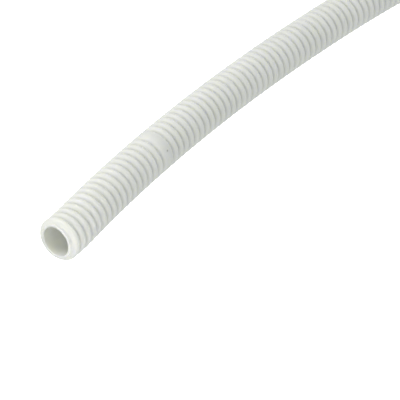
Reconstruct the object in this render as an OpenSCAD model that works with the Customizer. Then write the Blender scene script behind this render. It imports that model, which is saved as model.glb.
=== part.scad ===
// Corrugated conduit: a cut length of semi-rigid plastic tube, moulded in one
// piece with ribs all along it and one smooth band, lying in a gentle bend.
//
// The near mouth faces -X, the tube bends towards -Y, and its far mouth faces
// -Y. The ribs rest on Z = 0, and the origin is under the middle of the whole.

/* [Tube] */
// Outside diameter, over the ribs
od = 20; // [19:0.5:25]
// Clear bore, inside the valleys
bore_d = 13.6; // [12:0.1:14.4]
// Thickness of the wall
wall = 1; // [0.6:0.05:1.1]
// Length to cut to: the far cut falls in the nearest valley
length = 1000; // [500:20:1200]

/* [Ribs] */
// Distance from rib to rib
rib_pitch = 4.07; // [3.8:0.01:5]
// Width of a rib, whose top is rounded right across
rib_w = 3; // [2.8:0.05:3.3]
// Ribs between the near mouth and the smooth band
ribs_to_band = 17; // [6:1:40]
// Ribs whose places the smooth band takes
band_ribs = 2; // [2:1:4]

/* [Near cut] */
// Distance from the cut to the middle of the first rib, along the centre line
first_rib = 2.8; // [2.6:0.1:3.2]
// Skew of the cut, seen from above
cut_skew = 6; // [0:1:8]
// How far the tip is bent up
tip_tilt = 4; // [0:0.5:8]
// How far the tip is bent sideways, against the main bend
tip_swing = 5; // [0:0.5:8]

/* [Bend] */
// Bend radius at the near mouth
near_bend_r = 690; // [500:10:1500]
// Bend radius where the near stretch ends
mid_bend_r = 1165; // [500:5:1500]
// Length of the near stretch
near_l = 224; // [100:4:300]
// Turn from mouth to mouth
turn = 90; // [45:5:100]

/* [Hidden] */
$fn = 96;

crest_r = od / 2;
bore_r = bore_d / 2;
root_r = bore_r + wall;
// Flat pieces that round a rib off on each side of its middle, outside and inside
crown_steps = 2;
groove_steps = 1;

// The bend is a chain of straight turned links. Each link ends in a joint rib,
// which stands halfway between the directions of its two neighbours.
near_link_ribs = 5;
far_link_ribs = 10;
// Ribs in the bent-up tip, which has a link for each
tip_ribs = 2;
// A link reaches halfway into the wall of its joint ribs, whose own bore is
// this much wider, so that the two walls cross and never meet edge to edge
link_end = rib_w / 2 - wall / 2;
joint_ease = 0.15;

ribs = round((length - first_rib) / rib_pitch + 0.5);
band_end_rib = ribs_to_band + band_ribs;

// Distance of rib i from the near cut
function rib_at(i) = first_rib + i * rib_pitch;

// Ribs that are joints, counted back and onward from the smooth band
near_stretch_ribs = floor((near_l - first_rib) / rib_pitch);
first_counted_back = (ribs_to_band - 2 - tip_ribs) % near_link_ribs + tip_ribs + 1;
far_first_joint = band_end_rib + near_link_ribs * floor((near_stretch_ribs - band_end_rib) / near_link_ribs) + far_link_ribs;
joints = concat(
    [for (i = [1:tip_ribs]) i],
    [for (i = [first_counted_back:near_link_ribs:ribs_to_band - 1]) i],
    [for (i = [band_end_rib:near_link_ribs:near_stretch_ribs]) i],
    [for (i = [far_first_joint:far_link_ribs:ribs - 2]) i]
);

// Place of each link's start and end along the centre line
link_starts = concat([0], [for (i = joints) rib_at(i)]);
link_ends = concat([for (i = joints) rib_at(i)], [rib_at(ribs - 1) + rib_pitch / 2]);
links = len(link_starts);

// Direction of the centre line at a distance s from the near cut
near_turn = turned_near(near_l);
function turned_near(s) = (s / near_bend_r + (1 / mid_bend_r - 1 / near_bend_r) * s * s / near_l / 2) * 180 / PI;
function turned(s) = s < near_l
    ? turned_near(s)
    : near_turn + (turn - near_turn) * (s - near_l) / (link_ends[links - 1] - near_l);
function tip_share(j) = max(0, 1 - j / tip_ribs);
function tilt(j) = tip_tilt * tip_share(j);

// Rotation of link j and of the joint rib at its start
function link_rot(j) = [0, tilt(j), -turned((link_starts[j] + link_ends[j]) / 2) - tip_swing * tip_share(j)];
function joint_rot(j) = (link_rot(j - 1) + link_rot(j)) / 2;
function heading(rot) = [cos(rot.y) * cos(rot.z), cos(rot.y) * sin(rot.z), -sin(rot.y)];

// Centre line at both ends of each link, with the flat stretch on the floor
rise = [for (j = 0, z = 0; j <= tip_ribs; z = z + (link_ends[j] - link_starts[j]) * sin(tilt(j)), j = j + 1) z];
path = [for (
    j = 0, p = [0, 0, crest_r + rise[tip_ribs]];
    j <= links;
    p = p + (j < links ? link_ends[j] - link_starts[j] : 0) * heading(link_rot(min(j, links - 1))), j = j + 1
) p];

// Middle of the whole, seen from above: each end of a link reaches out by the
// rib radius, square to the link
function reach(j) = crest_r * [abs(sin(face_turn(j))), abs(cos(face_turn(j)))];
function face_turn(j) = link_rot(min(j, links - 1)).z - (j == 0 ? cut_skew : 0);
low = [for (k = [0, 1]) min([for (j = [0:links]) path[j][k] - reach(j)[k]])];
high = [for (k = [0, 1]) max([for (j = [0:links]) path[j][k] + reach(j)[k]])];

function reversed(list) = [for (i = [len(list) - 1:-1:0]) list[i]];

// Points across one rib from foot to foot, as [radius, distance along].
// The rib runs from distance a to b, and `in` is how deep under the outside
// this skin lies. A rib that is drawn out into a band has a flat on top.
function rib_skin(a, b, foot_r, steps, in = 0) =
    let (crown_r = rib_w / 2, r = crown_r - in, step = 90 / steps, flat = b - a > rib_w + rib_pitch / 2)
    concat(
        [[foot_r, a + in]],
        [for (k = [-steps:0]) [crest_r - crown_r + r * cos(k * step), a + crown_r + r * sin(k * step)]],
        [for (k = [flat ? 0 : 1:steps]) [crest_r - crown_r + r * cos(k * step), b - crown_r + r * sin(k * step)]],
        [[foot_r, b - in]]
    );

// Turned about the X axis: a profile of [radius, distance along] points
module turned_on_x(profile) rotate([0, 90, 0]) rotate_extrude() polygon(profile);

// Where each rib of a link stands, as [start, end] from rib number a to b - 1.
// The smooth band is one rib as wide as the ribs whose places it takes.
function stands(a, b, origin) = [
    for (i = [a:1:b - 1])
        if (i < ribs_to_band || i >= band_end_rib || i == ribs_to_band)
            let (last = i == ribs_to_band ? band_end_rib - 1 : i)
            [rib_at(i) - origin - rib_w / 2, rib_at(last) - origin + rib_w / 2]
];

// A straight length of hollow tube from distance `from` to `to`, with ribs
module link(from, to, ribs_here)
    turned_on_x(concat(
        [[bore_r, from], [root_r, from]],
        [for (r = ribs_here) each rib_skin(r[0], r[1], root_r, crown_steps)],
        [[root_r, to], [bore_r, to]],
        reversed([for (r = ribs_here) each rib_skin(r[0], r[1], bore_r, groove_steps, wall)])
    ));

// A joint rib, which carries the bend from one link to the next
module joint_rib()
    turned_on_x(concat(
        rib_skin(-rib_w / 2, rib_w / 2, bore_r + joint_ease, crown_steps),
        reversed(rib_skin(-rib_w / 2, rib_w / 2, bore_r + joint_ease, groove_steps, wall))
    ));

// The near tip, cut off on the skew
module tip() {
    cutter = 4 * crest_r;
    difference() {
        link(-first_rib, link_ends[0] - link_end, stands(0, 1, 0));
        rotate(-cut_skew) translate([-cutter, -cutter / 2, -cutter / 2]) cube(cutter);
    }
}

module conduit() color("#dfe0da") translate(-[low.x + high.x, low.y + high.y, 0] / 2) {
    translate(path[0]) rotate(link_rot(0)) tip();
    for (j = [1:links - 1])
        translate(path[j]) rotate(link_rot(j))
            link(
                link_end,
                link_ends[j] - link_starts[j] - (j < links - 1 ? link_end : 0),
                stands(rib_number(j) + 1, j < links - 1 ? rib_number(j + 1) : ribs, link_starts[j])
            );
    for (j = [1:links - 1])
        translate(path[j]) rotate(joint_rot(j)) joint_rib();
}
function rib_number(j) = joints[j - 1];

conduit();
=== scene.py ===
import math

import bpy
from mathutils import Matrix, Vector


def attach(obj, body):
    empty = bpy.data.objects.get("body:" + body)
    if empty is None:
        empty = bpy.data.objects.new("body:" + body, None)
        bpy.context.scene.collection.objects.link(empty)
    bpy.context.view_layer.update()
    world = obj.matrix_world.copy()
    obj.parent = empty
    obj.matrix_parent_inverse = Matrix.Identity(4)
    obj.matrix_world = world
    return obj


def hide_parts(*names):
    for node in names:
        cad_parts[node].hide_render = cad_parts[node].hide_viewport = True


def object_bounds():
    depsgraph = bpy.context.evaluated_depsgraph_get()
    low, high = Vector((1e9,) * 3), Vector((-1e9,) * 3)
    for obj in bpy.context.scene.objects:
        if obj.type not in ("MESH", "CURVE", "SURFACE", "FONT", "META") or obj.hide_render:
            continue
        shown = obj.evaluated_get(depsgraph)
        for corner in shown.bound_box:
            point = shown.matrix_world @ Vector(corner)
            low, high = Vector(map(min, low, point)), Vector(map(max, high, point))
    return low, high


bl_info = {
    "name": "Corrugated Conduit",
    "version": (1, 0, 0),
    "blender": (4, 5, 0),
    "location": "3D View > Sidebar > Conduit",
    "description": "Dresses a bent length of ribbed plastic conduit and sets it in a plain studio",
    "category": "Add Mesh",
}

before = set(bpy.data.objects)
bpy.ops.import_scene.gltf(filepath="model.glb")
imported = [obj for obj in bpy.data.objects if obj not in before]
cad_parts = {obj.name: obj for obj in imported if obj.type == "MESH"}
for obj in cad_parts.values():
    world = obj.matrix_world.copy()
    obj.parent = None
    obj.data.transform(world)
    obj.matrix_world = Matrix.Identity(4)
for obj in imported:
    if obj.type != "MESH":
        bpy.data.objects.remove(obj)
CAD_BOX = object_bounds()

MM = 0.001
# Vertices closer than this are one
WELD = 0.01 * MM

# Where a rib's rounded top has its rings, as degrees from the top
CREST_RINGS = (76, 44, 13)
# The small slope between a rib's foot and the valley
FOOT = 0.12 * MM
# How far the bore widens under a rib
BORE_HOLLOW = 0.22 * MM
# How uneven the near cut is
RAGGED = 0.09 * MM
# Edges that turn less than this are shaded smooth
SMOOTH_ANGLE = math.radians(48)
# The tip's bend fades from full to none over these many ribs
TIP_RIBS = 2
# Gap between the floor and the lowest part of the tube
FLOOR_GAP = 0.1 * MM
# The speck on the smooth band: in from the low X and high Y sides of the box, and up
SPECK_IN_X, SPECK_IN_Y, SPECK_Z = 74.6 * MM, 22.9 * MM, 15 * MM

# The camera, measured from the point on the floor under the near mouth
CAMERA_OFFSET = Vector((-0.581665, -0.374036, 0.55636))
CAMERA_DOWN = 0.65017
CAMERA_HEADING = math.radians(27.787)
CAMERA_LENS = 190.8

LAMP_COLOUR = (1.0, 0.965, 0.95)
SKY_COLOUR = (0.975, 1.0, 0.985, 1.0)
SKY_STRENGTH = 0.7
FLOOR_GLOW = 1.6


# ---------------------------------------------------------------- settings


def length(name, description, default):
    return bpy.props.FloatProperty(
        name=name, description=description, default=default * MM, unit="LENGTH", precision=5)


def angle(name, description, degrees):
    return bpy.props.FloatProperty(
        name=name, description=description, default=math.radians(degrees), subtype="ANGLE")


def count(name, description, default):
    return bpy.props.IntProperty(name=name, description=description, default=default, min=1)


def colour(name, description, default):
    return bpy.props.FloatVectorProperty(
        name=name, description=description, default=default, subtype="COLOR", min=0, max=1)


class ConduitTubeSettings(bpy.types.PropertyGroup):
    """The tube's section, ribs and near cut"""

    outside_d: length("Outside diameter", "Over the ribs", 19.96)
    bore_d: length("Bore", "Clear bore between the hollows of the ribs", 13.6)
    wall: length("Wall", "Thickness of the wall", 1)
    pitch: length("Rib pitch", "Distance from rib to rib", 4.07)
    rib_w: length("Rib width", "Width of a rib at its foot", 3.5)
    crown_h: length("Crown height", "Height of the rounded top of a rib", 1.9)
    fullness: bpy.props.FloatProperty(
        name="Fullness", description="2 rounds a rib's top to a half ellipse, and more makes it fuller",
        default=2, min=2, max=6)
    first_rib: length("First rib", "From the near cut to the middle of the first rib", 2.78)
    ribs: count("Rib places", "Rib places along the whole tube", 246)
    ribs_to_band: count("Ribs to the band", "Ribs between the near mouth and the smooth band", 17)
    band_ribs: count("Band", "Rib places that the smooth band takes", 2)
    cut_skew: angle("Cut skew", "Skew of the near cut, seen from above", 6)
    sides: count("Sides", "Faces round the tube", 32)


class ConduitBendSettings(bpy.types.PropertyGroup):
    """The bend that the tube lies in"""

    near_bend_r: length("Near bend", "Bend radius at the near mouth", 690)
    mid_bend_r: length("Middle bend", "Bend radius where the near stretch ends", 1165)
    near_l: length("Near stretch", "Length over which the near bend eases", 224)
    turn: angle("Turn", "From mouth to mouth", 90)
    tip_tilt: angle("Tip tilt", "How far the tip is bent up", 4)
    tip_swing: angle("Tip swing", "How far the tip is bent sideways, against the main bend", 5)
    mouth_x: length("Mouth in X", "From the box's low X side to the middle of the near mouth", 1.7)
    mouth_y: length("Mouth in Y", "From the box's high Y side to the middle of the near mouth", 9.718)


class ConduitFinishSettings(bpy.types.PropertyGroup):
    """Colours of the plastic and of the stage"""

    plastic: colour("Plastic", "The plastic where it is clean", (0.788, 0.795, 0.768))
    shade: colour("Plastic, shaded", "The plastic where it is a little dull", (0.735, 0.745, 0.713))
    mark: colour("Mark", "Specks and handling marks", (0.33, 0.33, 0.30))
    floor: colour("Floor", "The plain pale floor", (0.9, 0.9, 0.9))


# ------------------------------------------------------------- shader maths


class Link:
    """A socket's output, which Python's arithmetic turns into Math nodes"""

    def __init__(self, shade, socket):
        self.shade = shade
        self.socket = socket

    def __add__(self, other):
        return self.shade.maths("ADD", self, other)

    __radd__ = __add__

    def __sub__(self, other):
        return self.shade.maths("SUBTRACT", self, other)

    def __rsub__(self, other):
        return self.shade.maths("SUBTRACT", other, self)

    def __mul__(self, other):
        return self.shade.maths("MULTIPLY", self, other)

    __rmul__ = __mul__

    def step(self, low, high):
        """Goes smoothly from 0 to 1 while this goes from low to high"""
        made = self.shade.node(
            "ShaderNodeMapRange", {"interpolation_type": "SMOOTHSTEP"},
            {"Value": self, "From Min": low, "From Max": high})
        return self.shade.link(made)


class Shade:
    """A material and the nodes in it"""

    def __init__(self, name):
        self.material = bpy.data.materials.new(name)
        self.material.use_nodes = True
        self.tree = self.material.node_tree
        self.tree.nodes.clear()

    def node(self, kind, settings, sockets):
        """Adds a node: its settings first, then a value or a link for each socket"""
        made = self.tree.nodes.new(kind)
        for key, value in settings.items():
            setattr(made, key, value)
        for key, value in sockets.items():
            if isinstance(value, Link):
                self.tree.links.new(value.socket, made.inputs[key])
            else:
                made.inputs[key].default_value = value
        return made

    def link(self, made, output=0):
        return Link(self, made.outputs[output])

    def maths(self, operation, *values):
        return self.link(self.node("ShaderNodeMath", {"operation": operation}, dict(enumerate(values))))

    def noise(self, place, scale, detail=2.0, roughness=0.5):
        sockets = {"Vector": place, "Scale": scale, "Detail": detail, "Roughness": roughness}
        return self.link(self.node("ShaderNodeTexNoise", {}, sockets))

    def blend(self, share, first, second):
        """Mixes two colours"""
        sockets = {0: share, 6: first, 7: second}
        return self.link(self.node("ShaderNodeMix", {"data_type": "RGBA"}, sockets), 2)

    def distance(self, place, point):
        made = self.node("ShaderNodeVectorMath", {"operation": "DISTANCE"}, {0: place, 1: point})
        return self.link(made, "Value")

    def finish(self, surface):
        self.node("ShaderNodeOutputMaterial", {}, {"Surface": self.link(surface)})
        return self.material


def opaque(colour_value):
    return (*colour_value, 1.0)


def plastic_material(finish, speck):
    """Off-white satin plastic: faint mottling, a fine orange-peel skin, handling marks and one speck"""
    shade = Shade("white plastic")
    place = shade.link(shade.node("ShaderNodeTexCoord", {}, {}), "Object")
    cloud = shade.noise(place, 55.0, 3.0)
    mottle = shade.noise(place, 420.0, 3.0, 0.6)
    skin = shade.noise(place, 2600.0, 2.0)
    marks = shade.noise(place, 150.0, 5.0, 0.7).step(0.64, 0.78)
    near_speck = 1.0 - shade.distance(place, speck).step(0.25 * MM, 0.6 * MM)
    clean = shade.blend(0.35 + 0.6 * cloud.step(0.35, 0.65), opaque(finish.shade), opaque(finish.plastic))
    base = shade.blend(0.10 * marks + 0.85 * near_speck, clean, opaque(finish.mark))
    height = 0.5 * skin + 0.8 * mottle
    bump = shade.node("ShaderNodeBump", {}, {"Strength": 0.35, "Distance": 0.06 * MM, "Height": height})
    return shade.finish(shade.node(
        "ShaderNodeBsdfPrincipled", {},
        {
            "Base Color": base,
            "Roughness": 0.36 + 0.14 * mottle + 0.1 * marks,
            "IOR": 1.5,
            "Subsurface Weight": 1.0,
            "Subsurface Radius": (3.5 * MM, 3.5 * MM, 2.8 * MM),
            "Subsurface Scale": 1.0,
            "Normal": shade.link(bump),
        }))


def floor_material(finish):
    """A plain pale floor, lit evenly"""
    shade = Shade("pale floor")
    return shade.finish(shade.node(
        "ShaderNodeBsdfPrincipled", {},
        {
            "Base Color": opaque(finish.floor),
            "Roughness": 0.8,
            "Emission Color": (1.0, 1.0, 1.0, 1.0),
            "Emission Strength": FLOOR_GLOW,
        }))


# ----------------------------------------------------------------- the bend


def tube_length(tube):
    """From the middle of the near cut to the far cut, along the centre line"""
    return tube.first_rib + (tube.ribs - 0.5) * tube.pitch


def turned_near(bend, s):
    """Angle turned at distance s from the near cut, while the near bend eases"""
    change = 1 / bend.mid_bend_r - 1 / bend.near_bend_r
    return s / bend.near_bend_r + change * s * s / bend.near_l / 2


def turned(tube, bend, s):
    """Angle turned at distance s from the near cut"""
    if s < bend.near_l:
        return turned_near(bend, s)
    near_turn = turned_near(bend, bend.near_l)
    return near_turn + (bend.turn - near_turn) * (s - bend.near_l) / (tube_length(tube) - bend.near_l)


def tip_share(tube, s):
    """1 at the bent tip, and 0 from the third rib on"""
    third_rib = tube.first_rib + (TIP_RIBS + 0.5) * tube.pitch
    return min(1, max(0, (third_rib - s) / (TIP_RIBS * tube.pitch)))


def centre_line(tube, bend):
    """Points down the middle of the tube, closer together at the tip"""
    step = 0.5 * MM
    end = tube_length(tube)
    stops = [4 * MM * k for k in range(6)] + [20 * MM * k for k in range(2, int(end / (20 * MM)))] + [end]
    points, s, p = [], 0.0, Vector((0, 0, 0))
    for stop in stops:
        while s < stop:
            ds = min(step, stop - s)
            middle = s + ds / 2
            swing = turned(tube, bend, middle) + bend.tip_swing * tip_share(tube, middle)
            drop = bend.tip_tilt * tip_share(tube, middle)
            level = math.cos(drop)
            p = p + ds * Vector((level * math.cos(swing), -level * math.sin(swing), -math.sin(drop)))
            s += ds
        points.append(p)
    axis_height = tube.outside_d / 2 + WELD
    start = Vector((CAD_BOX[0][0] + bend.mouth_x, CAD_BOX[1][1] - bend.mouth_y, axis_height - p.z))
    return [start + point for point in points]


# ----------------------------------------------------------------- modelling


def object_mode():
    if bpy.context.object and bpy.context.object.mode != "OBJECT":
        bpy.ops.object.mode_set(mode="OBJECT")


def pick_objects(*objects):
    """Selects these objects and nothing else, and makes the first one active"""
    object_mode()
    bpy.ops.object.select_all(action="DESELECT")
    for one in objects:
        one.select_set(True)
    bpy.context.view_layer.objects.active = objects[0]


def edit_vertices(thing, test):
    """Enters edit mode with just the vertices selected whose place passes the test"""
    pick_objects(thing)
    bpy.ops.object.mode_set(mode="EDIT")
    bpy.ops.mesh.select_mode(type="VERT")
    bpy.ops.mesh.select_all(action="DESELECT")
    bpy.ops.object.mode_set(mode="OBJECT")
    for vertex in thing.data.vertices:
        vertex.select = test(vertex.co)
    bpy.ops.object.mode_set(mode="EDIT")


def apply_modifier(thing, kind, **settings):
    pick_objects(thing)
    modifier = thing.modifiers.new(kind.lower(), kind)
    for key, value in settings.items():
        setattr(modifier, key, value)
    bpy.ops.object.modifier_apply(modifier=modifier.name)


def drawn_skin(profile, sides):
    """A circle drawn out along X, ring by ring, through a profile of (x, radius) points"""
    object_mode()
    bpy.ops.object.select_all(action="DESELECT")
    x, radius = profile[0]
    bpy.ops.mesh.primitive_circle_add(
        vertices=sides, radius=radius, location=(x, 0, 0), rotation=(0, math.pi / 2, 0))
    skin = bpy.context.object
    bpy.ops.object.transform_apply(location=True, rotation=True, scale=True)
    bpy.ops.object.mode_set(mode="EDIT")
    bpy.ops.mesh.select_all(action="SELECT")
    for next_x, next_radius in profile[1:]:
        bpy.ops.mesh.extrude_region_move(TRANSFORM_OT_translate={"value": (next_x - x, 0, 0)})
        grow = next_radius / radius
        bpy.ops.transform.resize(value=(1, grow, grow), center_override=(next_x, 0, 0))
        x, radius = next_x, next_radius
    object_mode()
    return skin


def repeated_skin(profile, sides, copies, pitch):
    """One rib's skin, repeated along X with each copy joined to the one before"""
    skin = drawn_skin(profile, sides)
    apply_modifier(
        skin, "ARRAY", count=copies, use_relative_offset=False, use_constant_offset=True,
        constant_offset_displace=(pitch, 0, 0), use_merge_vertices=True, merge_threshold=WELD)
    return skin


def rib_outside(tube, start, places):
    """Outside of a rib from valley to valley, as (x, radius): rounded shoulders, and a flat where it
    takes more places than one"""
    crest, valley = tube.outside_d / 2, tube.bore_d / 2 + tube.wall
    half_w = tube.rib_w / 2
    first = start + tube.pitch / 2
    last = first + (places - 1) * tube.pitch
    shoulder = []
    for degrees in CREST_RINGS:
        a = math.radians(degrees)
        shoulder.append((
            half_w * math.sin(a) ** (2 / tube.fullness),
            crest - tube.crown_h + tube.crown_h * math.cos(a) ** (2 / tube.fullness)))
    return [
        (start, valley),
        (first - half_w - FOOT, valley + FOOT),
        *[(first - x, radius) for x, radius in shoulder],
        *[(last + x, radius) for x, radius in reversed(shoulder)],
        (last + half_w + FOOT, valley + FOOT),
        (last + tube.pitch / 2, valley),
    ]


def rib_inside(tube, start, places):
    """Inside of a rib: a shallow hollow in the bore"""
    bore = tube.bore_d / 2
    first = start + tube.pitch / 2
    last = first + (places - 1) * tube.pitch
    hollow = [(x, bore + BORE_HOLLOW) for x in sorted({first, last})]
    return [(start, bore), *hollow, (last + tube.pitch / 2, bore)]


class CONDUIT_OT_add_tube(bpy.types.Operator):
    """Adds the ribbed tube: one piece of plastic with its bore, its smooth band and its two cuts"""

    bl_idname = "conduit.add_tube"
    bl_label = "Add Tube"
    bl_options = {"REGISTER", "UNDO"}

    def execute(self, context):
        tube = context.scene.conduit_tube
        bend = context.scene.conduit_bend
        finish = context.scene.conduit_finish
        conduit = self.straight(tube)
        self.skew_near_cut(tube, conduit)
        self.bend(context, tube, bend, conduit)
        bpy.ops.object.shade_smooth_by_angle(angle=SMOOTH_ANGLE)
        low, high = CAD_BOX
        speck = Vector((low[0] + SPECK_IN_X, high[1] - SPECK_IN_Y, SPECK_Z))
        conduit.data.materials.clear()
        conduit.data.materials.append(plastic_material(finish, speck))
        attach(conduit, "root")
        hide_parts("conduit")
        return {"FINISHED"}

    def straight(self, tube):
        """The straight tube: its outer and inner skins, and the wall between them at both cuts"""
        bore, valley = tube.bore_d / 2, tube.bore_d / 2 + tube.wall
        start = tube.first_rib - tube.pitch / 2
        end = tube_length(tube)
        band_start = start + tube.ribs_to_band * tube.pitch
        band_end = band_start + tube.band_ribs * tube.pitch
        ribs_after = tube.ribs - tube.ribs_to_band - tube.band_ribs
        skins = [
            drawn_skin([(0, bore), (0, valley)], tube.sides),
            drawn_skin([(end, valley), (end, bore)], tube.sides),
        ]
        for rib, radius in ((rib_outside, valley), (rib_inside, bore)):
            skins += [
                drawn_skin([(0, radius), (start, radius)], tube.sides),
                repeated_skin(rib(tube, start, 1), tube.sides, tube.ribs_to_band, tube.pitch),
                drawn_skin(rib(tube, band_start, tube.band_ribs), tube.sides),
                repeated_skin(rib(tube, band_end, 1), tube.sides, ribs_after, tube.pitch),
            ]
        pick_objects(*skins)
        bpy.ops.object.join()
        conduit = bpy.context.object
        conduit.name = conduit.data.name = "conduit_tube"
        bpy.ops.object.mode_set(mode="EDIT")
        bpy.ops.mesh.select_all(action="SELECT")
        bpy.ops.mesh.remove_doubles(threshold=WELD)
        bpy.ops.mesh.normals_make_consistent(inside=False)
        object_mode()
        return conduit

    def skew_near_cut(self, tube, conduit):
        """Turns the near cut on the skew, with a slightly ragged edge"""
        edit_vertices(conduit, lambda co: co.x < WELD)
        bpy.ops.transform.rotate(value=tube.cut_skew, orient_axis="Z", center_override=(0, 0, 0))
        bpy.ops.transform.vertex_random(offset=RAGGED, seed=4)
        object_mode()

    def bend(self, context, tube, bend, conduit):
        """Lays the straight tube along its centre line"""
        data = bpy.data.curves.new("bend", "CURVE")
        data.dimensions = "3D"
        data.twist_mode = "Z_UP"
        line = data.splines.new("BEZIER")
        points = centre_line(tube, bend)
        line.bezier_points.add(len(points) - 1)
        for knot, point in zip(line.bezier_points, points):
            knot.co = point
            knot.handle_left_type = knot.handle_right_type = "AUTO"
        route = bpy.data.objects.new("bend", data)
        context.collection.objects.link(route)
        apply_modifier(conduit, "CURVE", object=route, deform_axis="POS_X")
        bpy.data.objects.remove(route)


# --------------------------------------------------------------------- stage


def soft_light(name, place, aim, size, power, spread=math.pi):
    """A square soft light at a place, turned towards its aim"""
    object_mode()
    bpy.ops.object.select_all(action="DESELECT")
    turn_to = (Vector(aim) - Vector(place)).to_track_quat("-Z", "Y").to_euler()
    bpy.ops.object.light_add(type="AREA", location=place, rotation=turn_to)
    light = bpy.context.object
    light.name = light.data.name = name
    light.data.size = size
    light.data.energy = power
    light.data.spread = spread
    light.data.color = LAMP_COLOUR


class CONDUIT_OT_add_stage(bpy.types.Operator):
    """Adds the plain pale floor, the soft lights and the camera"""

    bl_idname = "conduit.add_stage"
    bl_label = "Add Stage"
    bl_options = {"REGISTER", "UNDO"}

    def execute(self, context):
        bend = context.scene.conduit_bend
        near = Vector((CAD_BOX[0][0] + bend.mouth_x, CAD_BOX[1][1] - bend.mouth_y, 0))
        object_mode()
        bpy.ops.object.select_all(action="DESELECT")
        bpy.ops.mesh.primitive_plane_add(size=14, location=(0, 0, -FLOOR_GAP))
        floor = context.object
        floor.name = floor.data.name = "floor"
        bpy.ops.object.transform_apply(location=True, rotation=True, scale=True)
        floor.data.materials.append(floor_material(context.scene.conduit_finish))
        # It is there to be seen, and the tube's own light comes from the studio
        floor.visible_diffuse = False
        floor.visible_glossy = False
        world = bpy.data.worlds.new("studio")
        world.use_nodes = True
        background = world.node_tree.nodes["Background"]
        background.inputs["Color"].default_value = SKY_COLOUR
        background.inputs["Strength"].default_value = SKY_STRENGTH
        context.scene.world = world
        context.scene.view_settings.view_transform = "Standard"
        soft_light("key", near + Vector((-0.05, 0.26, 0.43)), near + Vector((0.05, 0, 0)), 0.22, 0.9)
        soft_light("fill", near + Vector((-0.3, -0.12, 0.16)), near, 0.15, 0.12)
        # A narrow beam into the near mouth, which is otherwise dark
        soft_light(
            "mouth", near + Vector((-0.06, -0.02, 0.02)), near + Vector((0.01, 0, 0.01)),
            0.02, 0.0006, math.radians(30))
        bpy.ops.object.select_all(action="DESELECT")
        bpy.ops.object.camera_add(
            location=near + CAMERA_OFFSET,
            rotation=(math.pi / 2 - CAMERA_DOWN, 0, CAMERA_HEADING - math.pi / 2))
        camera = context.object
        camera.name = camera.data.name = "camera"
        camera.data.sensor_width = 36
        camera.data.lens = CAMERA_LENS
        camera.data.clip_end = 20
        context.scene.camera = camera
        return {"FINISHED"}


class CONDUIT_PT_panel(bpy.types.Panel):
    """Lists the conduit's settings and what can be added"""

    bl_idname = "CONDUIT_PT_panel"
    bl_label = "Conduit"
    bl_space_type = "VIEW_3D"
    bl_region_type = "UI"
    bl_category = "Conduit"

    def draw(self, context):
        for name, kind in GROUPS.items():
            box = self.layout.box()
            for key in kind.__annotations__:
                box.prop(getattr(context.scene, name), key)
        for operator in OPERATORS:
            self.layout.operator(operator.bl_idname)


GROUPS = {
    "conduit_tube": ConduitTubeSettings,
    "conduit_bend": ConduitBendSettings,
    "conduit_finish": ConduitFinishSettings,
}
OPERATORS = (CONDUIT_OT_add_tube, CONDUIT_OT_add_stage)
CLASSES = (*GROUPS.values(), *OPERATORS, CONDUIT_PT_panel)


def register():
    for one in CLASSES:
        bpy.utils.register_class(one)
    for name, kind in GROUPS.items():
        setattr(bpy.types.Scene, name, bpy.props.PointerProperty(type=kind))


def unregister():
    for name in GROUPS:
        delattr(bpy.types.Scene, name)
    for one in reversed(CLASSES):
        bpy.utils.unregister_class(one)


def main():
    register()
    bpy.ops.conduit.add_tube()
    bpy.ops.conduit.add_stage()


if __name__ == "__main__":
    main()
